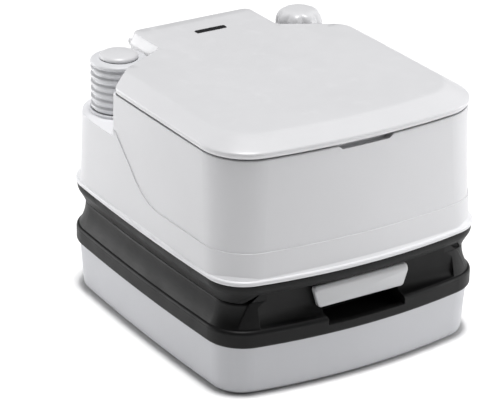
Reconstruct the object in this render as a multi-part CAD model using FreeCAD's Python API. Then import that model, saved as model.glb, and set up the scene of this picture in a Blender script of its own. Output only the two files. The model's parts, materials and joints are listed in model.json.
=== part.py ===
import FreeCAD, Part
import math
import os
from FreeCAD import Vector

# Two-piece portable toilet: a fresh-water section with bowl, seat, lid and bellows pump
# stands on a detachable waste tank with a slide valve and a swivelling pour spout.
# Millimetres. Origin at the bottom centre, front towards -Y, +Z up.

# ---------------------------------------------------------------- driving dimensions
WIDTH = 383.0
DEPTH = 427.0
HEIGHT = 330.0
WALL = 3.0
FAR = 260.0                           # beyond the outside of every part
SNUG = 0.05                           # room round a screw or stem that stays where it is
RUNNING = 0.08                        # room round a part that turns

RIM_LOW, RIM_HIGH = 66.0, 88.0        # proud rim of the waste tank's lid moulding
NECK_Z = 120.0                        # parting plane between the two sections
NECK_INSET = 12.0
SKIRT_TOP = 147.0                     # black skirt below, white flange above
FLANGE_TOP = 152.0
DECK_TOP = 301.5                      # top deck of the fresh-water tank
DECK_Z = 104.0                        # top of the waste tank's deck, inside its neck

OUTLET_R = 50.0                       # bowl outlet and valve passage, centred on the Z axis

PUMP_X, PUMP_Y = -136.0, 147.5
PUMP_R = 36.0
PUMP_FLOOR = 246.0
CAP_X, CAP_Y = 134.0, 151.0
CAP_R = 30.5
CAP_FLOOR = 288.0

SHOULDER_Y = 76.0                     # where the side wall turns into the rear shoulder
TONGUE_HALF = 93.0                    # half width of the tongue that carries the hinge
SHOULDER_IN_Y = 128.0                 # where the shoulder meets the tongue

HINGE_Y, HINGE_Z = 207.0, 307.0
HINGE_PIN_R = 2.5
KNUCKLE_R = 4.6
HINGE_GAP = 0.8                       # room left round a knuckle that turns past another part
HINGE_LUGS = [(-86.0, -80.0), (-4.0, 4.0), (80.0, 86.0)]
SEAT_KNUCKLES = [(-52.0, -40.0), (40.0, 52.0)]
LID_KNUCKLES = [(-72.0, -60.0), (60.0, 72.0)]

SEAT_LOW, SEAT_HIGH = 305.0, 317.0
LID_LOW, LID_LIP, LID_TOP = 303.0, 310.5, 324.5
LID_HALF = 185.0
LID_REAR = HINGE_Y - 5.0

SPOUT_X, SPOUT_Y, SPOUT_Z = -95.0, 165.0, 96.0
SPOUT_R = 19.0

VENT_X, VENT_Y = 118.0, -60.0
LATCH_X = 98.0
KEEPER_Y = 183.0                      # line of the keeper's screws and of the latch hook
KEEPER_SCREWS = [LATCH_X - 12, LATCH_X + 31]


# ---------------------------------------------------------------- basic shapes
def box(x0, x1, y0, y1, z0, z1):
    return Part.makeBox(x1 - x0, y1 - y0, z1 - z0, Vector(x0, y0, z0))


def rod(radius, z0, z1, x=0.0, y=0.0):
    return Part.makeCylinder(radius, z1 - z0, Vector(x, y, z0))


def ring(outer, inner, z0, z1, x=0.0, y=0.0):
    return rod(outer, z0, z1, x, y).cut(rod(inner, z0 - 1, z1 + 1, x, y))


def rod_x(radius, x0, x1, y, z):
    return Part.makeCylinder(radius, x1 - x0, Vector(x0, y, z), Vector(1, 0, 0))


def rod_y(radius, y0, y1, x, z):
    return Part.makeCylinder(radius, y1 - y0, Vector(x, y0, z), Vector(0, 1, 0))


def join(first, *others):
    return first.multiFuse(list(others)).removeSplitter()


def group(shapes):
    return Part.makeCompound(shapes)


def mirror_x(shape):
    return shape.mirror(Vector(0, 0, 0), Vector(1, 0, 0))


def prism(points, start, travel):
    """A polygon of 3-D points, closed and pushed along travel after moving to start."""
    corners = [Vector(*p) for p in points]
    face = Part.Face(Part.makePolygon(corners + corners[:1]))
    face.translate(Vector(*start))
    return face.extrude(Vector(*travel))


def turned(points, x, y):
    """A closed (radius, height) profile turned about the vertical line through x, y."""
    corners = [Vector(x + r, y, z) for r, z in points]
    face = Part.Face(Part.makePolygon(corners + corners[:1]))
    return face.revolve(Vector(x, y, 0), Vector(0, 0, 1), 360)


# ---------------------------------------------------------------- plan outlines
def arc_radius(half_chord, bow):
    return (half_chord ** 2 + bow ** 2) / (2 * bow)


def corner_centre(centre_a, radius_a, centre_b, radius_b, near):
    """The point at radius_a from centre_a and radius_b from centre_b that is nearest to near."""
    dx, dy = centre_b[0] - centre_a[0], centre_b[1] - centre_a[1]
    gap = math.hypot(dx, dy)
    along = (radius_a ** 2 - radius_b ** 2 + gap ** 2) / (2 * gap)
    across = math.sqrt(radius_a ** 2 - along ** 2)
    mx, my = centre_a[0] + along * dx / gap, centre_a[1] + along * dy / gap
    found = [(mx + s * across * dy / gap, my - s * across * dx / gap) for s in (1, -1)]
    return min(found, key=lambda c: math.hypot(c[0] - near[0], c[1] - near[1]))


class Outline:
    """A rounded rectangle with bowed sides, symmetric about X = 0, made of tangent arcs."""

    def __init__(self, half, front, rear, front_r, side_r, rear_r, front_round, rear_round):
        self.half, self.front, self.rear = half, front, rear
        self.front_r, self.side_r, self.rear_r = front_r, side_r, rear_r
        self.front_round, self.rear_round = front_round, rear_round

    def inset(self, d):
        return Outline(self.half - d, self.front + d, self.rear - d, self.front_r - d,
                       self.side_r - d, self.rear_r - d, self.front_round - d, self.rear_round - d)

    def wire(self, z):
        front_c = (0.0, self.front + self.front_r)
        rear_c = (0.0, self.rear - self.rear_r)
        side_c = (self.half - self.side_r, 0.0)
        fr, rr = self.front_round, self.rear_round
        corner_f = corner_centre(front_c, self.front_r - fr, side_c, self.side_r - fr,
                                 (self.half, self.front))
        corner_r = corner_centre(rear_c, self.rear_r - rr, side_c, self.side_r - rr,
                                 (self.half, self.rear))

        def towards(centre, point):
            d = math.hypot(point[0] - centre[0], point[1] - centre[1])
            return (point[0] - centre[0]) / d, (point[1] - centre[1]) / d

        def halfway(u, v):
            return towards((0.0, 0.0), (u[0] + v[0], u[1] + v[1]))

        def at(centre, radius, u):
            return Vector(centre[0] + radius * u[0], centre[1] + radius * u[1], z)

        ahead = (0.0, -1.0)
        u_front = towards(front_c, corner_f)
        u_side_f = towards(side_c, corner_f)
        u_side_r = towards(side_c, corner_r)
        u_rear = towards(rear_c, corner_r)
        right = [
            at(front_c, self.front_r, ahead),
            at(front_c, self.front_r, halfway(ahead, u_front)),
            at(front_c, self.front_r, u_front),
            at(corner_f, fr, halfway(u_front, u_side_f)),
            at(side_c, self.side_r, u_side_f),
            at(side_c, self.side_r, halfway(u_side_f, u_side_r)),
            at(side_c, self.side_r, u_side_r),
            at(corner_r, rr, halfway(u_side_r, u_rear)),
            at(rear_c, self.rear_r, u_rear),
        ]
        left = [Vector(-p.x, p.y, p.z) for p in right]
        starts = range(0, len(right) - 1, 2)
        edges = [Part.Arc(*right[i:i + 3]).toShape() for i in starts]
        edges.append(Part.Arc(right[-1], Vector(0, self.rear, z), left[-1]).toShape())
        edges += [Part.Arc(left[i + 2], left[i + 1], left[i]).toShape() for i in reversed(starts)]
        return Part.Wire(edges)

    def slab(self, z0, z1):
        return Part.Face(self.wire(z0)).extrude(Vector(0, 0, z1 - z0))


RIM = Outline(WIDTH / 2, -DEPTH / 2, DEPTH / 2, arc_radius(WIDTH / 2, 24), arc_radius(DEPTH / 2, 7),
              arc_radius(WIDTH / 2, 5), 50, 58)
WALL_LOW = Outline(186.8, -207.5, 207, arc_radius(186.8, 21), arc_radius(207, 3),
                   arc_radius(187, 4), 56, 64)
WALL_HIGH = Outline(184.5, -199.5, 203, arc_radius(184.5, 17.7), arc_radius(203, 1.5),
                    arc_radius(184.5, 3), 62, 70)


def loft(lower, z0, upper, z1):
    return Part.makeLoft([lower.wire(z0), upper.wire(z1)], True, True)


def swept(outline, profile):
    """A ring round an outline. The profile's points are (inset, z), an arc has 3 of them."""
    def at(p):
        return Vector(0, outline.front + p[0], p[1])
    edges = []
    for piece in profile:
        points = [at(p) for p in piece]
        edges.append(Part.makeLine(*points) if len(points) == 2 else Part.Arc(*points).toShape())
    return outline.wire(0).makePipeShell([Part.Wire(edges)], True, False)


# ---------------------------------------------------------------- waste tank
def waste_tank_bottom():
    low, high = RIM.inset(8.8), RIM.inset(4.0)
    top = RIM_LOW + 6
    outer = loft(low, 0, high, top)
    foot = [e for e in outer.Edges if e.BoundBox.ZMax < 0.01]
    outer = outer.makeFillet(9, foot)
    inner = loft(low.inset(WALL), WALL, high.inset(WALL), top + 1)
    return outer.cut(inner)


def front_prism(top_half, foot_half, low, high, back):
    """A prism seen from the front as an upright trapezoid, from far in front to back."""
    points = [(-foot_half, 0, low), (foot_half, 0, low), (top_half, 0, high), (-top_half, 0, high)]
    return prism(points, (0, -FAR, 0), (0, FAR + back, 0))


def neck_window(margin, low, high):
    """The window in the front of the black skirt, grown by margin."""
    return front_prism(145.0 + margin, 164.0 + margin, low, high, -181.0 + margin)


def waste_tank_shell_ring():
    outer = [
        [(4.0, RIM_LOW), (1.6, RIM_LOW)],
        [(1.6, RIM_LOW), (0.5, RIM_LOW + 1.2), (0.0, RIM_LOW + 4)],
        [(0.0, RIM_LOW + 4), (0.0, RIM_HIGH - 6)],
        [(0.0, RIM_HIGH - 6), (0.9, RIM_HIGH - 2), (3.4, RIM_HIGH)],
        [(3.4, RIM_HIGH), (9.4, RIM_HIGH + 13), (NECK_INSET, NECK_Z - 3)],
        [(NECK_INSET, NECK_Z - 3), (NECK_INSET + 1, NECK_Z - 1)],
        [(NECK_INSET + 1, NECK_Z - 1), (NECK_INSET + 3, NECK_Z - 1)],
        [(NECK_INSET + 3, NECK_Z - 1), (NECK_INSET + 3, NECK_Z)],
        [(NECK_INSET + 3, NECK_Z), (NECK_INSET + 6, NECK_Z)],
    ]
    inner = [(NECK_INSET + 6, NECK_Z), (NECK_INSET + 6, DECK_Z - 3), (8.0, RIM_HIGH - 4),
             (8.0, RIM_LOW + 6), (4.0, RIM_LOW + 6), (4.0, RIM_LOW)]
    return swept(RIM, outer + [list(pair) for pair in zip(inner, inner[1:])])


FRONT_WALL_Y = -190.0                 # straight face behind the valve handle
FRONT_WALL_TOP = 131.0
FINGER = (-54.0, 57.0, -172.0, 78.0, 104.0)    # x from, x to, depth y, floor z, roof z


RECESS_HALF = 141.0                   # half width of that face
RECESS_TOP = 140.0
FLARE_FOOT, FLARE_TOP = RIM_HIGH + 0.3, RIM_HIGH + 16.0
FLARE_INSET = 3.2                     # from the rim's edge to where the flare starts
FLARE_STEPS = 6


def recess_section(z, out):
    """A plan section of what is cut away: straight where out is 0, along the rim where it is 1."""
    def front(x):
        on_rim = RIM.front + FLARE_INSET + x ** 2 / (2 * RIM.front_r)
        return FRONT_WALL_Y + out * (on_rim - FRONT_WALL_Y)
    bowed = Part.Arc(Vector(-RECESS_HALF, front(RECESS_HALF) - 0.01, z), Vector(0, front(0) - 0.02, z),
                     Vector(RECESS_HALF, front(RECESS_HALF) - 0.01, z)).toShape()
    corners = [Vector(RECESS_HALF, -FAR, z), Vector(-RECESS_HALF, -FAR, z)]
    ends = bowed.Vertexes[-1].Point, bowed.Vertexes[0].Point
    sides = [Part.makeLine(ends[0], corners[0]), Part.makeLine(*corners), Part.makeLine(corners[1], ends[1])]
    return Part.Wire([bowed] + sides)


def front_recess():
    """What is cut away in front of the straight front face, which sweeps out to the rim."""
    wires = []
    for n in range(FLARE_STEPS + 1):
        turn = math.radians(90 * n / FLARE_STEPS)
        z = FLARE_FOOT + (FLARE_TOP - FLARE_FOOT) * (1 - math.cos(turn))
        wires.append(recess_section(z, 1 - math.sin(turn)))
    flare = Part.makeLoft(wires, True, False)
    above = box(-RECESS_HALF, RECESS_HALF, -FAR, FRONT_WALL_Y - 0.02, FLARE_TOP, RECESS_TOP)
    return flare.fuse(above)


POCKET_LEFT, POCKET_RIGHT, POCKET_FRONT, POCKET_FLOOR = -124.0, 46.0, 141.0, 72.0


def spout_pocket(margin):
    """The pocket in the rear left corner that the folded spout lies in, grown by margin."""
    return box(POCKET_LEFT - margin, POCKET_RIGHT + margin, POCKET_FRONT - margin, FAR,
               POCKET_FLOOR - margin, POCKET_FLOOR + 88)


def waste_tank_top():
    body = waste_tank_shell_ring()
    deck = RIM.inset(NECK_INSET + 5).slab(DECK_Z - WALL, DECK_Z)
    envelope = join(loft(RIM.inset(0.2), RIM_LOW, RIM.inset(0.2), RIM_HIGH - 4),
                    loft(RIM.inset(3.0), RIM_HIGH - 4, RIM.inset(NECK_INSET), NECK_Z))
    raised = RIM.inset(NECK_INSET + 0.5).slab(NECK_Z - 6, FRONT_WALL_TOP)
    raised = raised.common(front_prism(136, 156, NECK_Z - 6, FRONT_WALL_TOP, FRONT_WALL_Y + 4))
    front = envelope.common(box(-165, 165, -FAR, FRONT_WALL_Y + 4, RIM_HIGH - 6, NECK_Z))
    x0, x1, back, floor, roof = FINGER
    finger = box(x0, x1, -FAR, back, floor, roof)
    finger_walls = box(x0 - WALL, x1 + WALL, -FAR, back + WALL, floor - WALL, DECK_Z)
    finger_walls = envelope.common(finger_walls)
    pocket_walls = envelope.common(spout_pocket(WALL))
    low, high = RIM_LOW - 6, RIM_LOW + 6
    bottom_room = RIM.inset(4).slab(low, high).cut(RIM.inset(7.6).slab(low, high))
    body = join(body, deck, front, raised, finger_walls, pocket_walls.cut(bottom_room))
    body = body.cut(spout_pocket(0)).cut(front_recess()).cut(finger)
    blade_slot = box(-BLADE_HALF - 2, BLADE_HALF + 2, -230, -170, BLADE_LOW - 0.8, BLADE_HIGH + 0.8)
    latch_slot = box(LATCH_X - 8, LATCH_X + 38, LATCH_FRONT, 230, DECK_Z + 0.5, LATCH_TOP + 1.5)
    thumb_room = box(LATCH_X - 8, LATCH_X + 38, 196, 230, THUMB_LOW - 2, THUMB_HIGH + 2)
    spout_hole = rod(SPIGOT_R + 0.5, 50, 90, SPOUT_X, SPOUT_Y)
    vent_hole = rod(VENT_STEM_R + 0.1, 90, 110, VENT_X, VENT_Y)
    valve_hole = rod(OUTLET_R, 90, 120)
    return body.cut(group([blade_slot, latch_slot, thumb_room, spout_hole, vent_hole, valve_hole]))


# ---------------------------------------------------------------- slide valve
BLADE_LOW, BLADE_HIGH = 110.3, 113.2
BLADE_HALF = 60.0
GUIDE_TOP = 113.5
COVER_TOP = 118.0
GUIDE_BOX = (-72.0, 72.0, -118.0, 68.0)
SCREW_PLACES = [(x, y) for x in (-66.0, 66.0) for y in (-108.0, -25.0, 58.0)]
SCREW_R = 1.9


def screw_holes(z0, z1):
    return group([rod(SCREW_R + SNUG, z0, z1, x, y) for x, y in SCREW_PLACES])


def valve_gasket():
    return ring(OUTLET_R + 9, OUTLET_R + 1, DECK_Z, DECK_Z + 1.5)


def valve_guide():
    body = box(*GUIDE_BOX, DECK_Z, GUIDE_TOP)
    channel = box(-BLADE_HALF - 0.3, BLADE_HALF + 0.3, -120, 61, BLADE_LOW - 0.3, GUIDE_TOP + 1)
    seat = rod(OUTLET_R + 9, DECK_Z - 1, DECK_Z + 1.5)
    return body.cut(channel).cut(seat).cut(rod(OUTLET_R, 100, 120)).cut(screw_holes(DECK_Z + 1, 120))


def valve_cover():
    body = box(*GUIDE_BOX, GUIDE_TOP, COVER_TOP)
    seal_room = rod(OUTLET_R + 6, GUIDE_TOP - 1, GUIDE_TOP + 2)
    body = body.cut(seal_room).cut(rod(OUTLET_R, 100, 130)).cut(screw_holes(100, 130))
    upright = [e for e in body.Edges if 4.4 < e.Length < 4.6 and abs(e.Vertexes[0].X) > 70]
    return body.makeFillet(6, upright)


def lip_seal():
    return ring(OUTLET_R + 6, OUTLET_R, GUIDE_TOP, GUIDE_TOP + 2)


def valve_screws():
    screws = []
    for x, y in SCREW_PLACES:
        head = rod(3.6, COVER_TOP, COVER_TOP + 2.2, x, y)
        slot = box(x - 3, x + 3, y - 0.4, y + 0.4, COVER_TOP + 1.2, COVER_TOP + 3)
        screws.append(head.fuse(rod(SCREW_R, DECK_Z + 2, COVER_TOP, x, y)).cut(slot))
    return group(screws)


BLADE_FRONT, BLADE_REAR = -176.0, 60.0
STEM_HALF = 38.0
HANDLE_BACK, HANDLE_FRONT = -193.0, -201.0
BOSS_BACK = FRONT_WALL_Y - 0.4
STEM_TIP = -197.8
HANDLE_LOW, HANDLE_HIGH = 98.0, 126.0
HANDLE_HALF_LOW, HANDLE_HALF_HIGH = 61.0, 69.0
HANDLE_SCREW_X, HANDLE_SCREW_Y = 24.0, -194.4
HANDLE_SCREW_R, HANDLE_HEAD_R = 2.0, 3.9
BOSS_LOW, BOSS_HIGH = 106.0, 118.0


def handle_screw_rods(radius, z0, z1):
    return group([rod(radius, z0, z1, x, HANDLE_SCREW_Y) for x in (-HANDLE_SCREW_X, HANDLE_SCREW_X)])


def valve_blade():
    plate = box(-BLADE_HALF, BLADE_HALF, BLADE_FRONT, BLADE_REAR, BLADE_LOW, BLADE_HIGH)
    rear = [e for e in plate.Edges if e.BoundBox.YMin > BLADE_REAR - 1 and e.BoundBox.ZLength > 1]
    plate = plate.makeFillet(20, rear)
    stem = box(-STEM_HALF, STEM_HALF, STEM_TIP, BLADE_FRONT, BLADE_LOW, BLADE_HIGH)
    return join(plate, stem).cut(handle_screw_rods(HANDLE_SCREW_R + SNUG, BLADE_LOW - 10, BLADE_HIGH + 7))


def valve_handle():
    corners = [(-HANDLE_HALF_LOW, HANDLE_BACK, HANDLE_LOW), (HANDLE_HALF_LOW, HANDLE_BACK, HANDLE_LOW),
               (HANDLE_HALF_HIGH, HANDLE_BACK, HANDLE_HIGH), (-HANDLE_HALF_HIGH, HANDLE_BACK, HANDLE_HIGH)]
    body = prism(corners, (0, 0, 0), (0, HANDLE_FRONT - HANDLE_BACK, 0))
    ends = [e for e in body.Edges if e.BoundBox.YLength > 7]
    body = body.makeFillet(4, ends)
    front = [e for e in body.Edges if e.BoundBox.YMax < HANDLE_FRONT + 0.1]
    body = body.makeFillet(2.2, front)
    boss = box(-STEM_HALF - 6, STEM_HALF + 6, HANDLE_BACK, BOSS_BACK, BOSS_LOW, BOSS_HIGH)
    stem_room = box(-STEM_HALF - SNUG, STEM_HALF + SNUG, STEM_TIP - SNUG, BOSS_BACK + 10,
                    BLADE_LOW - SNUG, BLADE_HIGH + SNUG)
    holes = handle_screw_rods(HANDLE_SCREW_R + SNUG, HANDLE_LOW - 3, BOSS_HIGH - 2)
    heads = handle_screw_rods(HANDLE_HEAD_R + SNUG, HANDLE_LOW - 3, BOSS_LOW)
    return join(body, boss).cut(stem_room).cut(holes).cut(heads)


def handle_screws():
    screws = []
    for x in (-HANDLE_SCREW_X, HANDLE_SCREW_X):
        head = rod(HANDLE_HEAD_R, BOSS_LOW - 2, BOSS_LOW, x, HANDLE_SCREW_Y)
        screws.append(head.fuse(rod(HANDLE_SCREW_R, BOSS_LOW, BOSS_HIGH - 2, x, HANDLE_SCREW_Y)))
    return group(screws)


# ---------------------------------------------------------------- pour spout
SPOUT_END = 14.0
TOWER_R, TOWER_TOP = 21.0, 117.0      # the upright part that turns in the deck
SPIGOT_R, SPIGOT_LOW = 18.0, 60.0     # the part of it that reaches through
BEND_R = 15.5                         # bore from the tank up into the arm
CAP_RIBS = 12


def spout_collar():
    return ring(TOWER_R + 2.6, TOWER_R + RUNNING, POCKET_FLOOR, POCKET_FLOOR + 4, SPOUT_X, SPOUT_Y)


def spout():
    tower = rod(TOWER_R, POCKET_FLOOR + 0.3, TOWER_TOP, SPOUT_X, SPOUT_Y)
    crown = [e for e in tower.Edges if e.BoundBox.ZMin > TOWER_TOP - 1]
    tower = tower.makeFillet(8, crown)
    arm = rod_x(SPOUT_R, SPOUT_X, SPOUT_END, SPOUT_Y, SPOUT_Z)
    spigot = rod(SPIGOT_R, SPIGOT_LOW, POCKET_FLOOR + 1, SPOUT_X, SPOUT_Y)
    band = rod_x(SPOUT_R + 2, SPOUT_END - 28, SPOUT_END - 23, SPOUT_Y, SPOUT_Z)
    bore = rod(BEND_R, SPIGOT_LOW - 1, SPOUT_Z, SPOUT_X, SPOUT_Y)
    bend = Part.makeSphere(BEND_R, Vector(SPOUT_X, SPOUT_Y, SPOUT_Z))
    mouth = rod_x(SPOUT_R - 3, SPOUT_X, SPOUT_END + 1, SPOUT_Y, SPOUT_Z)
    return join(tower, arm, spigot, band).cut(join(bore, bend, mouth))


def spout_retainer():
    return ring(SPIGOT_R + 5, SPIGOT_R, SPIGOT_LOW + 3, POCKET_FLOOR - WALL - 0.4, SPOUT_X, SPOUT_Y)


def spout_cap_gasket():
    return rod_x(SPOUT_R, SPOUT_END, SPOUT_END + 2.5, SPOUT_Y, SPOUT_Z)


def spout_cap():
    outside = rod_x(SPOUT_R + 2.8, SPOUT_END - 16, SPOUT_END + 6, SPOUT_Y, SPOUT_Z)
    rim = [e for e in outside.Edges if e.BoundBox.XMin > SPOUT_END + 5]
    outside = outside.makeFillet(2, rim)
    ribs = []
    for n in range(CAP_RIBS):
        rib = box(SPOUT_END - 15, SPOUT_END + 3, -1.6, 1.6, SPOUT_R + 1.5, SPOUT_R + 3.6)
        rib.rotate(Vector(0, 0, 0), Vector(1, 0, 0), 360 * n / CAP_RIBS)
        rib.translate(Vector(0, SPOUT_Y, SPOUT_Z))
        ribs.append(rib)
    inside = rod_x(SPOUT_R + 0.3, SPOUT_END - 17, SPOUT_END + 2.5, SPOUT_Y, SPOUT_Z)
    return join(outside, *ribs).cut(inside)


# ---------------------------------------------------------------- vent button and latch
VENT_CAP_R, VENT_STEM_R, VENT_DISC_R = 8.5, 3.2, 9.0
VENT_COLLAR_HIGH = DECK_Z + 5
VENT_UNDERSIDE = DECK_Z - WALL


def vent_collar():
    return ring(VENT_CAP_R + 4.5, VENT_CAP_R + 0.1, DECK_Z, VENT_COLLAR_HIGH, VENT_X, VENT_Y)


def vent_button():
    cap = rod(VENT_CAP_R, VENT_COLLAR_HIGH, VENT_COLLAR_HIGH + 4, VENT_X, VENT_Y)
    top = [e for e in cap.Edges if e.BoundBox.ZMin > VENT_COLLAR_HIGH + 3]
    cap = cap.makeFillet(1.5, top)
    stem = rod(VENT_STEM_R, VENT_UNDERSIDE - 4, VENT_COLLAR_HIGH, VENT_X, VENT_Y)
    disc = rod(VENT_DISC_R, VENT_UNDERSIDE - 4, VENT_UNDERSIDE - 1.5, VENT_X, VENT_Y)
    return join(cap, stem, disc)


def vent_seal():
    return ring(VENT_DISC_R, VENT_STEM_R, VENT_UNDERSIDE - 1.5, VENT_UNDERSIDE, VENT_X, VENT_Y)


def vent_spring():
    turns, wire, height, radius = 3, 0.7, 4.0, 5.2
    helix = Part.makeHelix(height / turns, height - 0.4, radius)
    section = Part.Wire(Part.makeCircle(wire / 2, Vector(radius, 0, 0), Vector(0, 1, 0.04)))
    coil = Part.Wire(helix).makePipeShell([section], True, True)
    coil.translate(Vector(VENT_X, VENT_Y, DECK_Z + 0.6))
    return coil


LATCH_HALF, LATCH_FRONT, LATCH_TOP = 6.0, 180.0, 110.0
THUMB_LOW, THUMB_HIGH, THUMB_Y = 98.0, 111.0, 201.5
HOOK_REAR, HOOK_HIGH = 186.0, 127.0
KEEPER_LOW, KEEPER_HIGH = 118.0, 121.0
KEEPER_SCREW_R = 1.5


def latch_slider():
    left, right = LATCH_X - LATCH_HALF, LATCH_X + LATCH_HALF
    thumb = box(left, LATCH_X + 24, THUMB_Y - WALL, THUMB_Y, THUMB_LOW, THUMB_HIGH)
    ridges = [box(x, x + 1.6, THUMB_Y, THUMB_Y + 1.7, THUMB_LOW + 2, THUMB_HIGH - 2)
              for x in (LATCH_X + 4 * n for n in range(5))]
    stem = box(left, right, LATCH_FRONT, THUMB_Y - 2.5, DECK_Z + 1, LATCH_TOP)
    hook = box(left, right, LATCH_FRONT, HOOK_REAR, DECK_Z + 1, HOOK_HIGH)
    toe = box(right, right + 8, LATCH_FRONT, HOOK_REAR, KEEPER_HIGH + 0.5, HOOK_HIGH)
    return join(thumb, stem, hook, toe, *ridges)


def latch_keeper():
    plate = box(LATCH_X - 16, LATCH_X + 36, KEEPER_Y - 7, KEEPER_Y + 7, KEEPER_LOW, KEEPER_HIGH)
    slot = box(LATCH_X - LATCH_HALF - 1.5, LATCH_X + 18.6, LATCH_FRONT - 1, HOOK_REAR + 1,
               KEEPER_LOW - 1, KEEPER_HIGH + 1)
    return plate.cut(slot).cut(keeper_screw_rods(KEEPER_SCREW_R + SNUG, KEEPER_LOW - 1, KEEPER_HIGH + 1))


def keeper_screw_rods(radius, z0, z1):
    return group([rod(radius, z0, z1, x, KEEPER_Y) for x in KEEPER_SCREWS])


def keeper_screws():
    screws = []
    for x in KEEPER_SCREWS:
        head = rod(2.8, KEEPER_LOW - 1.2, KEEPER_LOW, x, KEEPER_Y)
        screws.append(head.fuse(rod(KEEPER_SCREW_R, KEEPER_LOW, KEEPER_HIGH + 2.5, x, KEEPER_Y)))
    return group(screws)


# ---------------------------------------------------------------- fresh-water section
def skirt_ring():
    outer = [
        [(NECK_INSET + 5, NECK_Z), (NECK_INSET + 0.4, NECK_Z)],
        [(NECK_INSET + 0.4, NECK_Z), (NECK_INSET, NECK_Z + 0.6)],
        [(NECK_INSET, NECK_Z + 0.6), (7.4, NECK_Z + 9.5), (3.0, NECK_Z + 17)],
        [(3.0, NECK_Z + 17), (1.9, NECK_Z + 20), (1.5, SKIRT_TOP)],
        [(1.5, SKIRT_TOP), (6.0, SKIRT_TOP)],
        [(6.0, SKIRT_TOP), (6.5, SKIRT_TOP - 7)],
        [(6.5, SKIRT_TOP - 7), (NECK_INSET + 5, NECK_Z + 4)],
        [(NECK_INSET + 5, NECK_Z + 4), (NECK_INSET + 5, NECK_Z)],
    ]
    return swept(RIM, outer)


def section_envelope():
    return join(loft(RIM.inset(NECK_INSET), NECK_Z, RIM.inset(3.2), NECK_Z + 17),
                loft(RIM.inset(3.2), NECK_Z + 17, RIM.inset(2.0), SKIRT_TOP))


def hook_dome(margin):
    return box(LATCH_X - 8 - margin, LATCH_X + 28 + margin, KEEPER_Y - 5 - margin, KEEPER_Y + 5 + margin,
               110, 128.5 + margin)


def fresh_tank_base():
    window = neck_window(0, NECK_Z - 5, 133)
    floor = RIM.inset(NECK_INSET + 4).slab(NECK_Z + 1, NECK_Z + 4)
    step = section_envelope().common(neck_window(WALL, NECK_Z + 1, 136))
    dome = hook_dome(2).common(box(0, 200, 0, 230, NECK_Z + 1, 200))
    body = join(skirt_ring(), floor, step, dome).cut(window).cut(hook_dome(0))
    screw_room = keeper_screw_rods(KEEPER_SCREW_R + SNUG, KEEPER_LOW - 3, KEEPER_HIGH + 2.6)
    return body.cut(rod(OUTLET_R + 4.2, 110, 130)).cut(screw_room)


def outlet_seal():
    return ring(OUTLET_R + 12, OUTLET_R, COVER_TOP, NECK_Z + 1)


def rear_recess(margin):
    """The plan of the stepped rear corner on the left, from the shoulder to the tongue."""
    return [(-230, SHOULDER_Y - 25.4 - margin), (-TONGUE_HALF + margin, SHOULDER_IN_Y - margin * 1.7),
            (-TONGUE_HALF + margin, FAR), (-230, FAR)]


def recess_prism(margin, floor):
    points = [(x, y, 0) for x, y in rear_recess(margin)]
    return prism(points, (0, 0, floor - margin), (0, 0, 400))


def crease_region():
    """What lies below the crease line, which runs level and then climbs towards the rear."""
    def at(y, z):
        return Vector(-FAR, y, z)
    corners = [at(24, 213), at(70, 254), at(FAR, 254), at(FAR, 100), at(-FAR, 100), at(-FAR, 186.5),
               at(-48, 186.5)]
    edges = [Part.makeLine(*pair) for pair in zip(corners, corners[1:])]
    edges.append(Part.Arc(corners[-1], at(-6, 192.6), corners[0]).toShape())
    return Part.Face(Part.Wire(edges)).extrude(Vector(2 * FAR, 0, 0))


def bowl_wire(z, half_x, half_y, y):
    if half_x == half_y:
        return Part.Wire(Part.makeCircle(half_x, Vector(0, y, z)))
    turned_axes = Part.Ellipse(Vector(0, y + half_y, z), Vector(half_x, y, z), Vector(0, y, z))
    return Part.Wire(turned_axes.toShape())


# height, half width, half depth, and how far back the middle is
BOWL_LEVELS = [(NECK_Z + 1, 49.0, 50.0, 0.0), (138, 53, 56, -1), (190, 78, 90, -9),
               (245, 103, 126, -20), (285, 113, 139, -24), (DECK_TOP + 3, 116, 142, -25)]
NOZZLE_X, NOZZLE_Z = 10.0, 288.0


def bowl_solid(margin):
    wires = [bowl_wire(z, a + margin, b + margin, y) for z, a, b, y in BOWL_LEVELS]
    return Part.makeLoft(wires, True, False)


NOTCH_FRONT, NOTCH_FLOOR = 195.0, 284.0        # room for the hinge in the tank's rear edge


SCOOP_FRONT, SCOOP_REAR, SCOOP_FLOOR = -230.0, -191.0, DECK_TOP - 4.5


def scoop_wire(z, half):
    corners = [(-half, SCOOP_FRONT), (half, SCOOP_FRONT), (half - 6, SCOOP_REAR), (-half + 6, SCOOP_REAR)]
    points = [Vector(x, y, z) for x, y in corners]
    return Part.makePolygon(points + points[:1])


def finger_scoop():
    """The shallow scoop under the lid's front edge, where a finger lifts it."""
    return Part.makeLoft([scoop_wire(DECK_TOP + 1, 46), scoop_wire(SCOOP_FLOOR, 38)], True, True)


def flange_blend():
    """The hollow curve by which the wall runs out into the flange."""
    foot, top, inside = FLANGE_TOP - 0.6, FLANGE_TOP + 9, 8.0
    return swept(RIM, [
        [(1.6, foot), (3.6, FLANGE_TOP + 2.2), (inside, top)],
        [(inside, top), (inside, foot)],
        [(inside, foot), (1.6, foot)],
    ])


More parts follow.
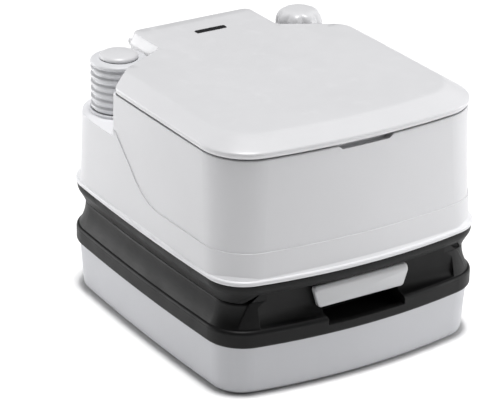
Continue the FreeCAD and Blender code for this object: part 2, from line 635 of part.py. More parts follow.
def fresh_tank_shell():
    wall = loft(WALL_LOW, FLANGE_TOP - 2, WALL_HIGH, DECK_TOP)
    top = [e for e in wall.Edges if e.BoundBox.ZMin > DECK_TOP - 1]
    wall = wall.makeFillet(1.5, top)
    proud = loft(WALL_LOW.inset(-1.3), FLANGE_TOP - 2, WALL_HIGH.inset(-1.3), DECK_TOP)
    proud = proud.common(crease_region())
    flange = RIM.slab(SKIRT_TOP, FLANGE_TOP + 1)
    round_edges = [e for e in flange.Edges if e.BoundBox.ZLength < 0.1]
    flange = flange.makeFillet(2.4, round_edges)
    body = join(flange, flange_blend(), wall, proud)
    inner = loft(WALL_LOW.inset(WALL + 1), SKIRT_TOP - 1, WALL_HIGH.inset(WALL), DECK_TOP - WALL)
    left, right = recess_prism(0, PUMP_FLOOR), mirror_x(recess_prism(0, CAP_FLOOR))
    inner = inner.cut(recess_prism(WALL, PUMP_FLOOR)).cut(mirror_x(recess_prism(WALL, CAP_FLOOR)))
    body = body.cut(inner).cut(left).cut(right)
    hinge_room = box(-TONGUE_HALF - 1, TONGUE_HALF + 1, NOTCH_FRONT, 230, NOTCH_FLOOR, 320)
    hinge_wall = box(-TONGUE_HALF, TONGUE_HALF, NOTCH_FRONT - WALL, 205, NOTCH_FLOOR - WALL, DECK_TOP)
    hinge_wall = hinge_wall.common(loft(WALL_LOW, FLANGE_TOP, WALL_HIGH, DECK_TOP))
    scoop_backing = box(-50, 50, -196, -186, SCOOP_FLOOR - WALL, DECK_TOP - 1)
    body = join(body, hinge_wall, scoop_backing).cut(hinge_room)
    pump_hole, cap_hole = rod(24, 200, 270, PUMP_X, PUMP_Y), rod(24.1, 270, 300, CAP_X, CAP_Y)
    holes = [bowl_solid(3.0), finger_scoop(), pump_hole, cap_hole]
    lugs = [hinge_lug(x) for x in HINGE_LUGS]
    return join(body.cut(group(holes)), *lugs)


def bowl():
    rim_top = DECK_TOP + 2
    flange = Part.Face(bowl_wire(DECK_TOP, half_x=124, half_y=150, y=-25)).extrude(Vector(0, 0, 2))
    inside = bowl_solid(0)
    wall = bowl_solid(2.5).cut(inside).cut(box(-200, 200, -200, 200, rim_top, rim_top + 10))
    nozzle_hole = rod_y(7.05, 100, 130, NOZZLE_X, NOZZLE_Z)
    return wall.fuse(flange.cut(inside)).cut(nozzle_hole)


# ---------------------------------------------------------------- pump
BELLOWS_LOW, BELLOWS_HIGH = 250.0, 309.0
RIBS = 6
TUBE_R, TUBE_BORE_R = 6.0, 4.0
TUBE_LOW, TUBE_HIGH = 136.0, 212.0
STRAINER_R, STRAINER_LOW = 10.0, 126.0
STRAINER_SLOTS = 8
HOSE_R = 4.0
HOSE_START = (PUMP_X + 24.0, PUMP_Y, 220.0)     # end of the pump's outlet


def pump_collar():
    profile = [(30.2, PUMP_FLOOR), (37.2, PUMP_FLOOR), (37.2, BELLOWS_LOW - 1), (36.4, BELLOWS_LOW),
               (26, BELLOWS_LOW), (26, PUMP_FLOOR + 1.6), (30.2, PUMP_FLOOR + 1.6)]
    return turned(profile, PUMP_X, PUMP_Y)


def pump_bellows():
    pitch = (BELLOWS_HIGH - BELLOWS_LOW) / RIBS
    outer, inner = [], []
    for n in range(RIBS):
        z = BELLOWS_LOW + n * pitch
        outer += [(PUMP_R - 5, z), (PUMP_R - 0.4, z + pitch * 0.36), (PUMP_R - 0.4, z + pitch * 0.64)]
        inner += [(PUMP_R - 7.5, z), (PUMP_R - 3, z + pitch * 0.5)]
    outer.append((PUMP_R - 5, BELLOWS_HIGH))
    inner.append((PUMP_R - 7.5, BELLOWS_HIGH))
    return turned(outer + inner[::-1], PUMP_X, PUMP_Y)


def pump_top():
    z = BELLOWS_HIGH
    profile = [(0, z), (PUMP_R - 1, z), (PUMP_R, z + 1.2), (PUMP_R, z + 3), (PUMP_R - 2, z + 5.2),
               (PUMP_R - 10, z + 6.5), (15, z + 6.5), (15, z + 3), (0, z + 3)]
    return turned(profile, PUMP_X, PUMP_Y)


def pump_cap():
    z = BELLOWS_HIGH + 3
    profile = [(0, z), (14.9, z), (14.9, z + 4.6), (21, z + 5), (24.5, z + 7), (24, z + 8.6),
               (18, z + 10.6), (8, z + 11.6), (0, z + 11.8)]
    return turned(profile, PUMP_X, PUMP_Y)


def pump_valve_body():
    profile = [(12, TUBE_HIGH), (12, 226), (23, 232), (23, PUMP_FLOOR), (30, PUMP_FLOOR),
               (30, PUMP_FLOOR + 1.5), (20, PUMP_FLOOR + 1.5), (20, 234), (TUBE_BORE_R, 232),
               (TUBE_BORE_R, TUBE_HIGH)]
    body = turned(profile, PUMP_X, PUMP_Y)
    outlet = rod_x(4.5, PUMP_X + 10, HOSE_START[0], HOSE_START[1], HOSE_START[2])
    bore = rod_x(3, PUMP_X, HOSE_START[0] + 6, HOSE_START[1], HOSE_START[2])
    return body.fuse(outlet).cut(bore).removeSplitter()


def pump_flap():
    return rod(11, 236, 238, PUMP_X, PUMP_Y).fuse(rod(1.4, 233, 236, PUMP_X, PUMP_Y))


def dip_tube():
    return ring(TUBE_R, TUBE_BORE_R, TUBE_LOW, TUBE_HIGH, PUMP_X, PUMP_Y)


def intake_strainer():
    room = rod(STRAINER_R - 2, STRAINER_LOW - 1, TUBE_LOW - 2, PUMP_X, PUMP_Y)
    cup = rod(STRAINER_R, STRAINER_LOW, TUBE_LOW, PUMP_X, PUMP_Y).cut(room)
    slots = []
    for n in range(STRAINER_SLOTS):
        slot = box(STRAINER_R - 4, STRAINER_R + 2, -1, 1, STRAINER_LOW - 1, STRAINER_LOW + 5)
        slot.rotate(Vector(0, 0, 0), Vector(0, 0, 1), 360 * n / STRAINER_SLOTS)
        slot.translate(Vector(PUMP_X, PUMP_Y, 0))
        slots.append(slot)
    return cup.cut(group(slots)).cut(rod(TUBE_BORE_R, STRAINER_LOW + 4, TUBE_LOW + 4, PUMP_X, PUMP_Y))


HOSE_ROUTE = [HOSE_START, (-72.0, PUMP_Y, 220.0), (-38.0, 156.0, 250.0), (-8.0, 162.0, 278.0),
              (NOZZLE_X, 142.0, NOZZLE_Z), (NOZZLE_X, 120.0, NOZZLE_Z)]


def hose_path():
    """Straight runs joined by tangent arcs, and the arcs' radii."""
    points = [Vector(*p) for p in HOSE_ROUTE]
    edges, radii, start = [], [], points[0]
    for before, here, after in zip(points, points[1:], points[2:]):
        u, v = (before - here).normalize(), (after - here).normalize()
        cut = 0.45 * min((before - here).Length, (after - here).Length)
        half_turn = (math.pi - u.getAngle(v)) / 2
        radius = cut / math.tan(half_turn)
        first, last = here + u * cut, here + v * cut
        inwards = (u + v).normalize()
        middle = here + inwards * (radius / math.cos(half_turn) - radius)
        edges += [Part.makeLine(start, first), Part.Arc(first, middle, last).toShape()]
        radii.append(radius)
        start = last
    edges.append(Part.makeLine(start, points[-1]))
    return Part.Wire(edges), radii


def flush_hose():
    path, radii = hose_path()
    section = Part.Wire(Part.makeCircle(HOSE_R, Vector(*HOSE_START), path.Edges[0].tangentAt(0)))
    tube = path.makePipeShell([section], True, False)
    expected = math.pi * HOSE_R ** 2 * path.Length
    print("flush hose length", round(path.Length, 1), "radii", [round(r, 1) for r in radii],
          "volume ratio", round(tube.Volume / expected, 4))
    return tube


def flush_nozzle():
    body = rod_y(7, 113, 120, NOZZLE_X, NOZZLE_Z)
    lip = box(NOZZLE_X - 6, NOZZLE_X + 6, 107, 113, NOZZLE_Z - 4, NOZZLE_Z - 1)
    return body.fuse(lip).removeSplitter()


# ---------------------------------------------------------------- filler
FILL_R, FILL_BORE_R, FILL_HIGH = 26.0, 22.0, 314.0
CAP_LOW, CAP_ROOM_R, CAP_ROOM_HIGH = 292.0, 26.4, 316.5
CAP_LOBES = 8


def fill_neck():
    profile = [(FILL_BORE_R, CAP_FLOOR - 8), (24, CAP_FLOOR - 8), (24, CAP_FLOOR), (29, CAP_FLOOR),
               (29, CAP_FLOOR + 2), (FILL_R, CAP_FLOOR + 2), (FILL_R, FILL_HIGH),
               (FILL_BORE_R + 1, FILL_HIGH), (FILL_BORE_R, FILL_HIGH - 2)]
    return turned(profile, CAP_X, CAP_Y).cut(rod(FILL_BORE_R, 270, 320, CAP_X, CAP_Y))


def fill_cap_gasket():
    return rod(FILL_R, FILL_HIGH, CAP_ROOM_HIGH, CAP_X, CAP_Y)


def fill_cap():
    top = HEIGHT
    profile = [(0, CAP_ROOM_HIGH), (CAP_ROOM_R, CAP_ROOM_HIGH), (CAP_ROOM_R, CAP_LOW), (29.5, CAP_LOW),
               (29.5, 314), (27, 321), (20, 327.5), (16, top - 0.6), (8, top), (0, top)]
    body = turned(profile, CAP_X, CAP_Y)
    grips = []
    for n in range(CAP_LOBES):
        grip = Part.makeCylinder(6, 34, Vector(25.4, 0, CAP_LOW), Vector(0, 0, 1))
        grip.rotate(Vector(0, 0, 0), Vector(0, 0, 1), 360 * n / CAP_LOBES)
        grip.translate(Vector(CAP_X, CAP_Y, 0))
        grips.append(grip)
    hollow = rod(CAP_ROOM_R, CAP_LOW - 12, CAP_ROOM_HIGH, CAP_X, CAP_Y)
    dome = turned([(0, CAP_LOW - 12), (CAP_R + 0.6, CAP_LOW - 12), (CAP_R + 0.6, 313), (28.5, 321),
                   (21, 328), (16, top - 0.6), (0, top)], CAP_X, CAP_Y)
    return join(body, *[g.common(dome) for g in grips]).cut(hollow)


# ---------------------------------------------------------------- seat, lid and hinge
def rounded_outline(z, half, front, bow, front_round, shoulder, tongue, rear, rounds):
    """A cover's plan: bowed front, straight sides, sloping shoulders and a rear tongue.

    shoulder is where the side turns in, tongue the (half width, y) where the tongue starts,
    and rounds the radii of the three corners from there to the rear.
    """
    tongue_half, tongue_y = tongue
    front_r = arc_radius(half, bow)
    cx = half - front_round
    centre = front + front_r
    cy = centre - math.sqrt((front_r - front_round) ** 2 - cx ** 2)
    reach = math.hypot(cx, centre - cy)
    out = Vector(cx / reach, (cy - centre) / reach, 0)
    mid = (out + Vector(1, 0, 0)).normalize()
    corner = Vector(cx, cy, z)
    start = corner + out * front_round
    corner_mid = corner + mid * front_round
    side_start = corner + Vector(front_round, 0, 0)
    vertices = [side_start, Vector(half, shoulder, z), Vector(tongue_half, tongue_y, z),
                Vector(tongue_half, rear, z), Vector(0, rear, z)]
    half_edges = [Part.Arc(start, corner_mid, side_start).toShape()]
    position = side_start
    for before, here, after, radius in zip(vertices, vertices[1:], vertices[2:], rounds):
        u, v = (before - here).normalize(), (after - here).normalize()
        half_angle = u.getAngle(v) / 2
        cut = radius / math.tan(half_angle)
        first, last = here + u * cut, here + v * cut
        middle = here + (u + v).normalize() * (radius / math.sin(half_angle) - radius)
        half_edges += [Part.makeLine(position, first), Part.Arc(first, middle, last).toShape()]
        position = last
    front_edge = Part.Arc(Vector(-start.x, start.y, z), Vector(0, front, z), start).toShape()
    rear_edge = Part.makeLine(position, Vector(-position.x, position.y, z))
    mirrored = [mirror_x(e) for e in half_edges]
    return Part.Wire(Part.__sortEdges__([front_edge] + half_edges + [rear_edge] + mirrored))


def shoulder_y(x, margin):
    """Y of the shoulder line at a half width x, moved forward by margin."""
    slope = (SHOULDER_IN_Y - SHOULDER_Y) / (184.5 - TONGUE_HALF)
    return SHOULDER_IN_Y - (x - TONGUE_HALF) * slope - margin * 1.15


LID_FRONT = -200.5
LID_BAND = 23.0                       # width of the sloping band round the lid's top


def lid_wire(z, band, inset):
    """The lid's plan at a height: band in from the lip at the front and sides, inset all round."""
    share = band / LID_BAND
    half = LID_HALF - band - inset
    tongue = TONGUE_HALF - 0.8 - 6 * share - inset
    shoulder_margin = 0.8 + inset
    rounds = (18 + inset, 12, 9)
    return rounded_outline(z, half, LID_FRONT + 28.5 * share + inset, 17.7, 61 - 6 * share - inset,
                           shoulder_y(half, shoulder_margin), (tongue, shoulder_y(tongue, shoulder_margin)),
                           LID_REAR - 1.5 * share - inset, rounds)


def lid_solid(inset):
    """The lid's outside, or with an inset the hollow under it."""
    lip = [lid_wire(LID_LOW - inset, 0, inset), lid_wire(LID_LIP, 0, inset)]
    slope = [lip[1], lid_wire(LID_TOP - inset, LID_BAND, inset)]
    return Part.makeLoft(lip, True, True).fuse(Part.makeLoft(slope, True, True))


def hinge_lug(span):
    x0, x1 = span
    barrel = rod_x(KNUCKLE_R, x0, x1, HINGE_Y, HINGE_Z)
    foot = box(x0, x1, HINGE_Y - KNUCKLE_R, HINGE_Y - 1, NOTCH_FLOOR - 1, HINGE_Z)
    web = box(x0, x1, NOTCH_FRONT - 1, HINGE_Y - 1, NOTCH_FLOOR - 1, HINGE_Z - 9)
    return join(barrel, foot, web).cut(rod_x(HINGE_PIN_R, x0 - 1, x1 + 1, HINGE_Y, HINGE_Z))


def hinge_pin():
    return rod_x(HINGE_PIN_R, -86, 86, HINGE_Y, HINGE_Z)


def seat_wire(z):
    return rounded_outline(z, half=164, front=-175, bow=15, front_round=50, shoulder=70,
                           tongue=(60, 112), rear=196, rounds=(30, 20, 4))


def seat():
    body = Part.makeLoft([seat_wire(SEAT_LOW), seat_wire(SEAT_HIGH)], True, True)
    hole = [bowl_wire(SEAT_LOW - 1, 100, 122, -28), bowl_wire(SEAT_HIGH + 1, 110, 132, -28)]
    opening = Part.makeLoft(hole, True, True)
    body = body.cut(opening)
    arms = []
    for x0, x1 in SEAT_KNUCKLES:
        arms.append(rod_x(KNUCKLE_R, x0, x1, HINGE_Y, HINGE_Z))
        arms.append(box(x0, x1, 190, HINGE_Y, HINGE_Z - 2, HINGE_Z + KNUCKLE_R))
    return join(body, *arms).cut(rod_x(HINGE_PIN_R + RUNNING, -100, 100, HINGE_Y, HINGE_Z))


SEAT_BUMPERS = [(-146.0, 55.0), (146.0, 55.0), (-135.0, -125.0), (135.0, -125.0)]
LID_BUMPERS = [(-128.0, 50.0), (128.0, 50.0), (-118.0, -112.0), (118.0, -112.0)]
BUMPER_R = 6.0


def seat_bumpers():
    return group([rod(BUMPER_R, DECK_TOP, SEAT_LOW, x, y) for x, y in SEAT_BUMPERS])


def lid():
    body = lid_solid(0).cut(lid_solid(WALL))
    knuckles = []
    for x0, x1 in LID_KNUCKLES:
        knuckles.append(rod_x(KNUCKLE_R, x0, x1, HINGE_Y, HINGE_Z))
        knuckles.append(box(x0, x1, LID_REAR - WALL, HINGE_Y, HINGE_Z, HINGE_Z + KNUCKLE_R))
    rooms = []
    for x0, x1 in HINGE_LUGS + SEAT_KNUCKLES:
        rooms.append(box(x0 - HINGE_GAP, x1 + HINGE_GAP, LID_REAR - 10, LID_REAR + 10, LID_LOW - 5,
                         HINGE_Z + KNUCKLE_R + HINGE_GAP))
    pin_hole = rod_x(HINGE_PIN_R + RUNNING, -100, 100, HINGE_Y, HINGE_Z)
    return join(body, *knuckles).cut(pin_hole).cut(group(rooms))


def lid_bumpers():
    return group([rod(BUMPER_R, SEAT_HIGH, LID_TOP - WALL, x, y) for x, y in LID_BUMPERS])


def lid_badge():
    plate = box(-20, 24, 150, 159, LID_TOP, LID_TOP + 0.6)
    upright = [e for e in plate.Edges if e.BoundBox.ZLength > 0.5]
    return plate.makeFillet(2, upright)


# ---------------------------------------------------------------- output
NODES = {
    "waste_tank_bottom": waste_tank_bottom,
    "waste_tank_top": waste_tank_top,
    "valve_gasket": valve_gasket,
    "valve_guide": valve_guide,
    "valve_cover": valve_cover,
    "lip_seal": lip_seal,
    "valve_screws": valve_screws,
    "valve_blade": valve_blade,
    "valve_handle": valve_handle,
    "handle_screws": handle_screws,
    "spout_collar": spout_collar,
    "spout": spout,
    "spout_retainer": spout_retainer,
    "spout_cap_gasket": spout_cap_gasket,
    "spout_cap": spout_cap,
    "vent_collar": vent_collar,
    "vent_button": vent_button,
    "vent_seal": vent_seal,
    "vent_spring": vent_spring,
    "latch_slider": latch_slider,
    "latch_keeper": latch_keeper,
    "keeper_screws": keeper_screws,
    "fresh_tank_base": fresh_tank_base,
    "fresh_tank_shell": fresh_tank_shell,
    "outlet_seal": outlet_seal,
    "bowl": bowl,
    "pump_collar": pump_collar,
    "pump_bellows": pump_bellows,
    "pump_top": pump_top,
    "pump_cap": pump_cap,
    "pump_valve_body": pump_valve_body,
    "pump_flap": pump_flap,
    "dip_tube": dip_tube,
    "intake_strainer": intake_strainer,
    "flush_hose": flush_hose,
    "flush_nozzle": flush_nozzle,
    "fill_neck": fill_neck,
    "fill_cap_gasket": fill_cap_gasket,
    "fill_cap": fill_cap,
    "hinge_pin": hinge_pin,
    "seat": seat,
    "seat_bumpers": seat_bumpers,
    "lid": lid,
    "lid_bumpers": lid_bumpers,
    "lid_badge": lid_badge,
}


def main():
    os.makedirs("parts", exist_ok=True)
    for name, make in NODES.items():
        shape = make()
        bounds = shape.BoundBox
        print(f"{name:20s} solids {len(shape.Solids)} valid {shape.isValid()}",
              f"volume {shape.Volume / 1000:9.2f} cm3",
              f"x {bounds.XMin:.1f} {bounds.XMax:.1f} y {bounds.YMin:.1f} {bounds.YMax:.1f}",
              f"z {bounds.ZMin:.1f} {bounds.ZMax:.1f}")
        shape.exportStep(f"parts/{name}.step")


main()
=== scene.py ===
"""Looks of the portable toilet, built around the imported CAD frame. Metres, +Z up, front towards -Y."""
import bpy
import json
import math
from mathutils import Matrix, Vector


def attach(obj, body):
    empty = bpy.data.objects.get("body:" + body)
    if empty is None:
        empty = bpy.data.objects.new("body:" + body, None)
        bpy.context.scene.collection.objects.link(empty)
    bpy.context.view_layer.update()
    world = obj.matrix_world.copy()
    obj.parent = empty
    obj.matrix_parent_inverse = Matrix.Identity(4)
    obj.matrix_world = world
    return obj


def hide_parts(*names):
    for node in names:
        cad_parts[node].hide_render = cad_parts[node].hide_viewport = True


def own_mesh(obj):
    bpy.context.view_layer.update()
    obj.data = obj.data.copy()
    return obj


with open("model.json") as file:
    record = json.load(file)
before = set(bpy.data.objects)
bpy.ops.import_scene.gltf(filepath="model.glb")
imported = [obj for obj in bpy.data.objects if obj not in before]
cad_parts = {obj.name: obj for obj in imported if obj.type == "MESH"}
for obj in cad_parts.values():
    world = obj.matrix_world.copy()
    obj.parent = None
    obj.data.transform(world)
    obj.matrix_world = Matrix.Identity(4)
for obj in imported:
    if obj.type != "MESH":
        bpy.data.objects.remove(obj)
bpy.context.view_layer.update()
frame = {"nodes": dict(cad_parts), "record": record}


# ---------------------------------------------------------------- camera, light and floor
def direction(azimuth, elevation):
    """The unit vector from the object towards a viewer at that azimuth and elevation, in degrees."""
    a, e = math.radians(azimuth), math.radians(elevation)
    return Vector((math.sin(a) * math.cos(e), -math.cos(a) * math.cos(e), math.sin(e)))


def add_camera():
    """A long lens in front on the left, a little above, rolled by about a degree."""
    azimuth, elevation, roll = -32.62, 24.34, 0.97
    distance, target = 3.2027, Vector((-0.0559, -0.0358, 0.165))
    data = bpy.data.cameras.new("camera")
    data.lens = 187.64
    data.shift_y = 0.002
    data.clip_end = 20
    camera = bpy.data.objects.new("camera", data)
    bpy.context.scene.collection.objects.link(camera)
    back = direction(azimuth, elevation)
    right = Vector((0, 0, 1)).cross(back).normalized()
    up = back.cross(right)
    turn = Matrix((right, up, back)).transposed().to_4x4() @ Matrix.Rotation(math.radians(roll), 4, "Z")
    camera.matrix_world = Matrix.Translation(target + back * distance) @ turn
    bpy.context.scene.camera = camera


AIM = Vector((0, 0, 0.16))             # the middle of the object


def add_light(name, azimuth, elevation, distance, size, power):
    """A rectangular soft box turned to the object."""
    data = bpy.data.lights.new(name, "AREA")
    data.shape = "RECTANGLE"
    data.size, data.size_y = size
    data.energy = power
    light = bpy.data.objects.new(name, data)
    bpy.context.scene.collection.objects.link(light)
    away = direction(azimuth, elevation)
    light.location = AIM + away * distance
    light.rotation_euler = away.to_track_quat("Z", "Y").to_euler()


def add_world():
    """A dim even surround, so that the lights shape the object."""
    world = bpy.data.worlds.new("studio")
    world.use_nodes = True
    background = world.node_tree.nodes["Background"]
    background.inputs["Color"].default_value = (1.0, 1.0, 1.0, 1.0)
    background.inputs["Strength"].default_value = 0.04
    bpy.context.scene.world = world
    bpy.context.scene.view_settings.view_transform = "Standard"


def add_sun():
    """A high sun that keeps the floor evenly white and the shadow close under the object."""
    data = bpy.data.lights.new("overhead", "SUN")
    data.energy = 3.38
    data.angle = math.radians(12)
    light = bpy.data.objects.new("overhead", data)
    bpy.context.scene.collection.objects.link(light)
    light.rotation_euler = direction(-20, 88).to_track_quat("Z", "Y").to_euler()


def add_floor():
    """A plain pale floor, far larger than the object."""
    mesh = bpy.data.meshes.new("floor")
    half = 20.0
    corners = [(-half, -half, 0), (half, -half, 0), (half, half, 0), (-half, half, 0)]
    mesh.from_pydata(corners, [], [(0, 1, 2, 3)])
    floor = bpy.data.objects.new("floor", mesh)
    bpy.context.scene.collection.objects.link(floor)
    floor.data.materials.append(floor_material())


# ---------------------------------------------------------------- materials
EDGE_RADIUS = 0.0011                   # how far an edge looks rounded, in metres
GAP_SHADE_REACH = 0.007                  # how near another surface is where painted shade darkens the colour
GAP_SHADE_OPEN, GAP_SHADE_FULL = 0.36, 0.2       # open sky seen where the painted shade starts, and where it is full
GAP_SHADE_LEFT = 0.06                   # what is left of the colour under the painted shade
TONE_LOW = 0.965                       # the darker end of the slow changes of tone
TONE_SCALE, GLOSS_SCALE, WAVE_SCALE, WEAR_SCALE = 7.0, 38.0, 11.0, 160.0
SCUFF_STRETCH = (9.0, 9.0, 260.0)      # drawn out sideways
SCUFF_SCALE, SCUFF_ROUGHER = 6.0, 0.12


class Nodes:
    """A small helper around one material's node tree."""

    def __init__(self, name):
        self.material = bpy.data.materials.new(name)
        self.material.use_nodes = True
        self.tree = self.material.node_tree
        self.shader = self.tree.nodes["Principled BSDF"]

    def add(self, kind, **values):
        """A new node, with values set on its inputs or, where it has no such input, on itself."""
        node = self.tree.nodes.new(kind)
        for key, value in values.items():
            if key in node.inputs:
                node.inputs[key].default_value = value
            else:
                setattr(node, key, value)
        return node

    def link(self, output, target):
        self.tree.links.new(output, target)

    def noise(self, scale, detail=2.0, roughness=0.5):
        """Noise of that many cells per metre, fixed to the object."""
        coordinates = self.add("ShaderNodeTexCoord")
        noise = self.add("ShaderNodeTexNoise", Scale=scale, Detail=detail, Roughness=roughness)
        self.link(coordinates.outputs["Object"], noise.inputs["Vector"])
        return noise.outputs["Fac"]

    def remap(self, value, low, high, to_low, to_high):
        """Stretches low to high onto to_low to to_high, held at both ends."""
        node = self.add("ShaderNodeMapRange")
        node.inputs["From Min"].default_value = low
        node.inputs["From Max"].default_value = high
        node.inputs["To Min"].default_value = to_low
        node.inputs["To Max"].default_value = to_high
        self.link(value, node.inputs["Value"])
        return node.outputs["Result"]

    def mix(self, factor, first, second):
        """Mixes two colours, each an output socket or an (r, g, b) triple, by a factor socket."""
        node = self.add("ShaderNodeMix", data_type="RGBA")
        self.link(factor, node.inputs["Factor"])
        for name, value in (("A_Color", first), ("B_Color", second)):
            socket = next(s for s in node.inputs if s.identifier == name)
            if isinstance(value, tuple):
                socket.default_value = (*value, 1.0)
            else:
                self.link(value, socket)
        return next(s for s in node.outputs if s.identifier == "Result_Color")

    def sum(self, first, second):
        node = self.add("ShaderNodeMath", operation="ADD")
        self.link(first, node.inputs[0])
        self.link(second, node.inputs[1])
        return node.outputs["Value"]

    def edge_wear(self, soft_normal):
        """1 along convex and concave edges, 0 on open faces, broken up a little by noise."""
        geometry = self.add("ShaderNodeNewGeometry")
        dot = self.add("ShaderNodeVectorMath", operation="DOT_PRODUCT")
        self.link(soft_normal, dot.inputs[0])
        self.link(geometry.outputs["Normal"], dot.inputs[1])
        edge = self.remap(dot.outputs["Value"], 0.995, 0.86, 0.0, 1.0)
        broken = self.remap(self.noise(WEAR_SCALE, detail=3.0), 0.35, 0.6, 0.45, 1.0)
        node = self.add("ShaderNodeMath", operation="MULTIPLY")
        self.link(edge, node.inputs[0])
        self.link(broken, node.inputs[1])
        return node.outputs["Value"]

    def painted_gap_shade(self, amount):
        """Painted shade, up to amount in narrow gaps, 0 on open faces and in open corners."""
        occlusion = self.add("ShaderNodeAmbientOcclusion", samples=12, Distance=GAP_SHADE_REACH)
        return self.remap(occlusion.outputs["AO"], GAP_SHADE_OPEN, GAP_SHADE_FULL, 0.0, amount)

    def scuffs(self):
        """Thin rubbed streaks, mostly level, 0 to 1."""
        coordinates = self.add("ShaderNodeTexCoord")
        stretch = self.add("ShaderNodeMapping")
        stretch.inputs["Scale"].default_value = SCUFF_STRETCH
        noise = self.add("ShaderNodeTexNoise", Scale=SCUFF_SCALE, Detail=3.0, Roughness=0.55)
        self.link(coordinates.outputs["Object"], stretch.inputs["Vector"])
        self.link(stretch.outputs["Vector"], noise.inputs["Vector"])
        return self.remap(noise.outputs["Fac"], 0.58, 0.72, 0.0, 1.0)

    def bump(self, height, strength, distance, normal=None):
        """A normal bent by a height socket, on top of another normal if one is given."""
        node = self.add("ShaderNodeBump", Strength=strength, Distance=distance)
        self.link(height, node.inputs["Height"])
        if normal is not None:
            self.link(normal, node.inputs["Normal"])
        return node.outputs["Normal"]


def floor_material():
    """Matt pale paper."""
    nodes = Nodes("floor_paper")
    nodes.shader.inputs["Base Color"].default_value = (0.95, 0.95, 0.95, 1.0)
    nodes.shader.inputs["Roughness"].default_value = 0.9
    return nodes.material


def moulded(name, colour, roughness, grain, grain_depth, specular=0.5, coat=0.0, edge=0.12, gap_shade=0.85):
    """A smooth surface with soft edges, fine grain, scuffs, slow changes of tone and gloss, and painted
    shade in narrow gaps.

    grain is its cells per metre and grain_depth its depth in metres. edge is how much paler a worn
    edge is, and the last argument how much painted shade darkens a narrow gap.
    """
    nodes = Nodes(name)
    flow = nodes.remap(nodes.noise(TONE_SCALE, detail=3.0), 0.3, 0.7, 0.0, 1.0)
    tone = nodes.mix(flow, tuple(c * TONE_LOW for c in colour), colour)
    soft = nodes.add("ShaderNodeBevel", samples=4, Radius=EDGE_RADIUS).outputs["Normal"]
    worn = nodes.edge_wear(soft)
    pale = tuple(min(1.0, c * (1 + edge) + 0.01) for c in colour)
    tone = nodes.mix(worn, tone, pale)
    # painted shade: the colour darkens to near black in narrow gaps, where shadow would fall
    tone = nodes.mix(nodes.painted_gap_shade(gap_shade), tone, tuple(c * GAP_SHADE_LEFT for c in colour))
    nodes.link(tone, nodes.shader.inputs["Base Color"])
    patches = nodes.remap(nodes.noise(GLOSS_SCALE, detail=4.0, roughness=0.6), 0.3, 0.7, -0.04, 0.05)
    scuffs = nodes.scuffs()
    rough = nodes.sum(patches, nodes.remap(scuffs, 0.0, 1.0, roughness, roughness + SCUFF_ROUGHER))
    nodes.link(rough, nodes.shader.inputs["Roughness"])
    waved = nodes.bump(nodes.noise(WAVE_SCALE, detail=1.0), 0.10, 0.0015, soft)
    marked = nodes.bump(scuffs, 0.08, 0.00004, waved)
    grained = nodes.bump(nodes.noise(grain, detail=2.0), 0.25, grain_depth, marked)
    nodes.link(grained, nodes.shader.inputs["Normal"])
    nodes.shader.inputs["Specular IOR Level"].default_value = specular
    nodes.shader.inputs["Coat Weight"].default_value = coat
    nodes.shader.inputs["Coat Roughness"].default_value = 0.25
    return nodes.material


# name, colour, roughness, grain in cells per metre, and its depth in metres
MATERIALS = {
    "white_shell": moulded("white_shell", (0.70, 0.70, 0.718), 0.36, 2600, 0.00004),
    "white_cover": moulded("white_cover", (0.70, 0.70, 0.715), 0.34, 2600, 0.00004),
    "light_grey_tank": moulded("light_grey_tank", (0.55, 0.555, 0.58), 0.42, 2200, 0.00006),
    "black_belt": moulded("black_belt", (0.006, 0.006, 0.0063), 0.46, 1800, 0.0001, specular=0.2, edge=0.5),
    "grey_handle": moulded("grey_handle", (0.61, 0.615, 0.63), 0.4, 2200, 0.00005),
    "white_pump": moulded("white_pump", (0.69, 0.695, 0.715), 0.42, 2600, 0.00004),
    "white_bowl": moulded("white_bowl", (0.78, 0.78, 0.78), 0.2, 2600, 0.00002, coat=0.3),
    "grey_valve": moulded("grey_valve", (0.12, 0.125, 0.13), 0.45, 2200, 0.00006),
    "black_rubber": moulded("black_rubber", (0.02, 0.02, 0.02), 0.7, 1500, 0.0001, specular=0.3),
    "steel": moulded("steel", (0.5, 0.5, 0.5), 0.3, 2600, 0.00003),
    "hose": moulded("hose", (0.6, 0.6, 0.58), 0.4, 2600, 0.00003),
    "dark_badge": moulded("dark_badge", (0.02, 0.02, 0.022), 0.25, 2600, 0.00002),
}


def dress_nodes():
    """Gives every CAD node the material of its slot."""
    for part in frame["record"]["subparts"]:
        node = frame["nodes"][part["node"]]
        node.data.materials.clear()
        node.data.materials.append(MATERIALS[part["material_slot"]])


# ---------------------------------------------------------------- mesh pieces, in millimetres
MM = 0.001
POLE_R = 0.02                          # a profile that reaches its axis ends in a ring this small
CORNER_STEPS = 6                       # straight pieces in a rounded corner


def add_piece(name, vertices, faces, body, slot_name, node):
    """Makes a smooth piece that stands for a CAD node and moves with that node's body."""
    mesh = bpy.data.meshes.new(name)
    mesh.from_pydata([[c * MM for c in v] for v in vertices], [], faces)
    mesh.shade_smooth()
    mesh.set_sharp_from_angle(angle=math.radians(50))
    mesh.materials.append(MATERIALS[slot_name])
    piece = bpy.data.objects.new(name, mesh)
    bpy.context.scene.collection.objects.link(piece)
    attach(piece, body)
    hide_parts(node)
    return piece


def banded(rings, closed=False):
    """Vertices and faces between rings of equally many points, with ends unless the rings are closed."""
    count = len(rings[0])
    vertices = [p for ring in rings for p in ring]
    pairs = list(zip(range(len(rings)), range(1, len(rings))))
    if closed:
        pairs.append((len(rings) - 1, 0))
    faces = []
    for a, b in pairs:
        for n in range(count):
            m = (n + 1) % count
            faces.append((a * count + n, a * count + m, b * count + m, b * count + n))
    if not closed:
        for ring, turn in ((0, -1), (len(rings) - 1, 1)):
            faces += fan(vertices, ring * count, count, turn)
    return vertices, faces


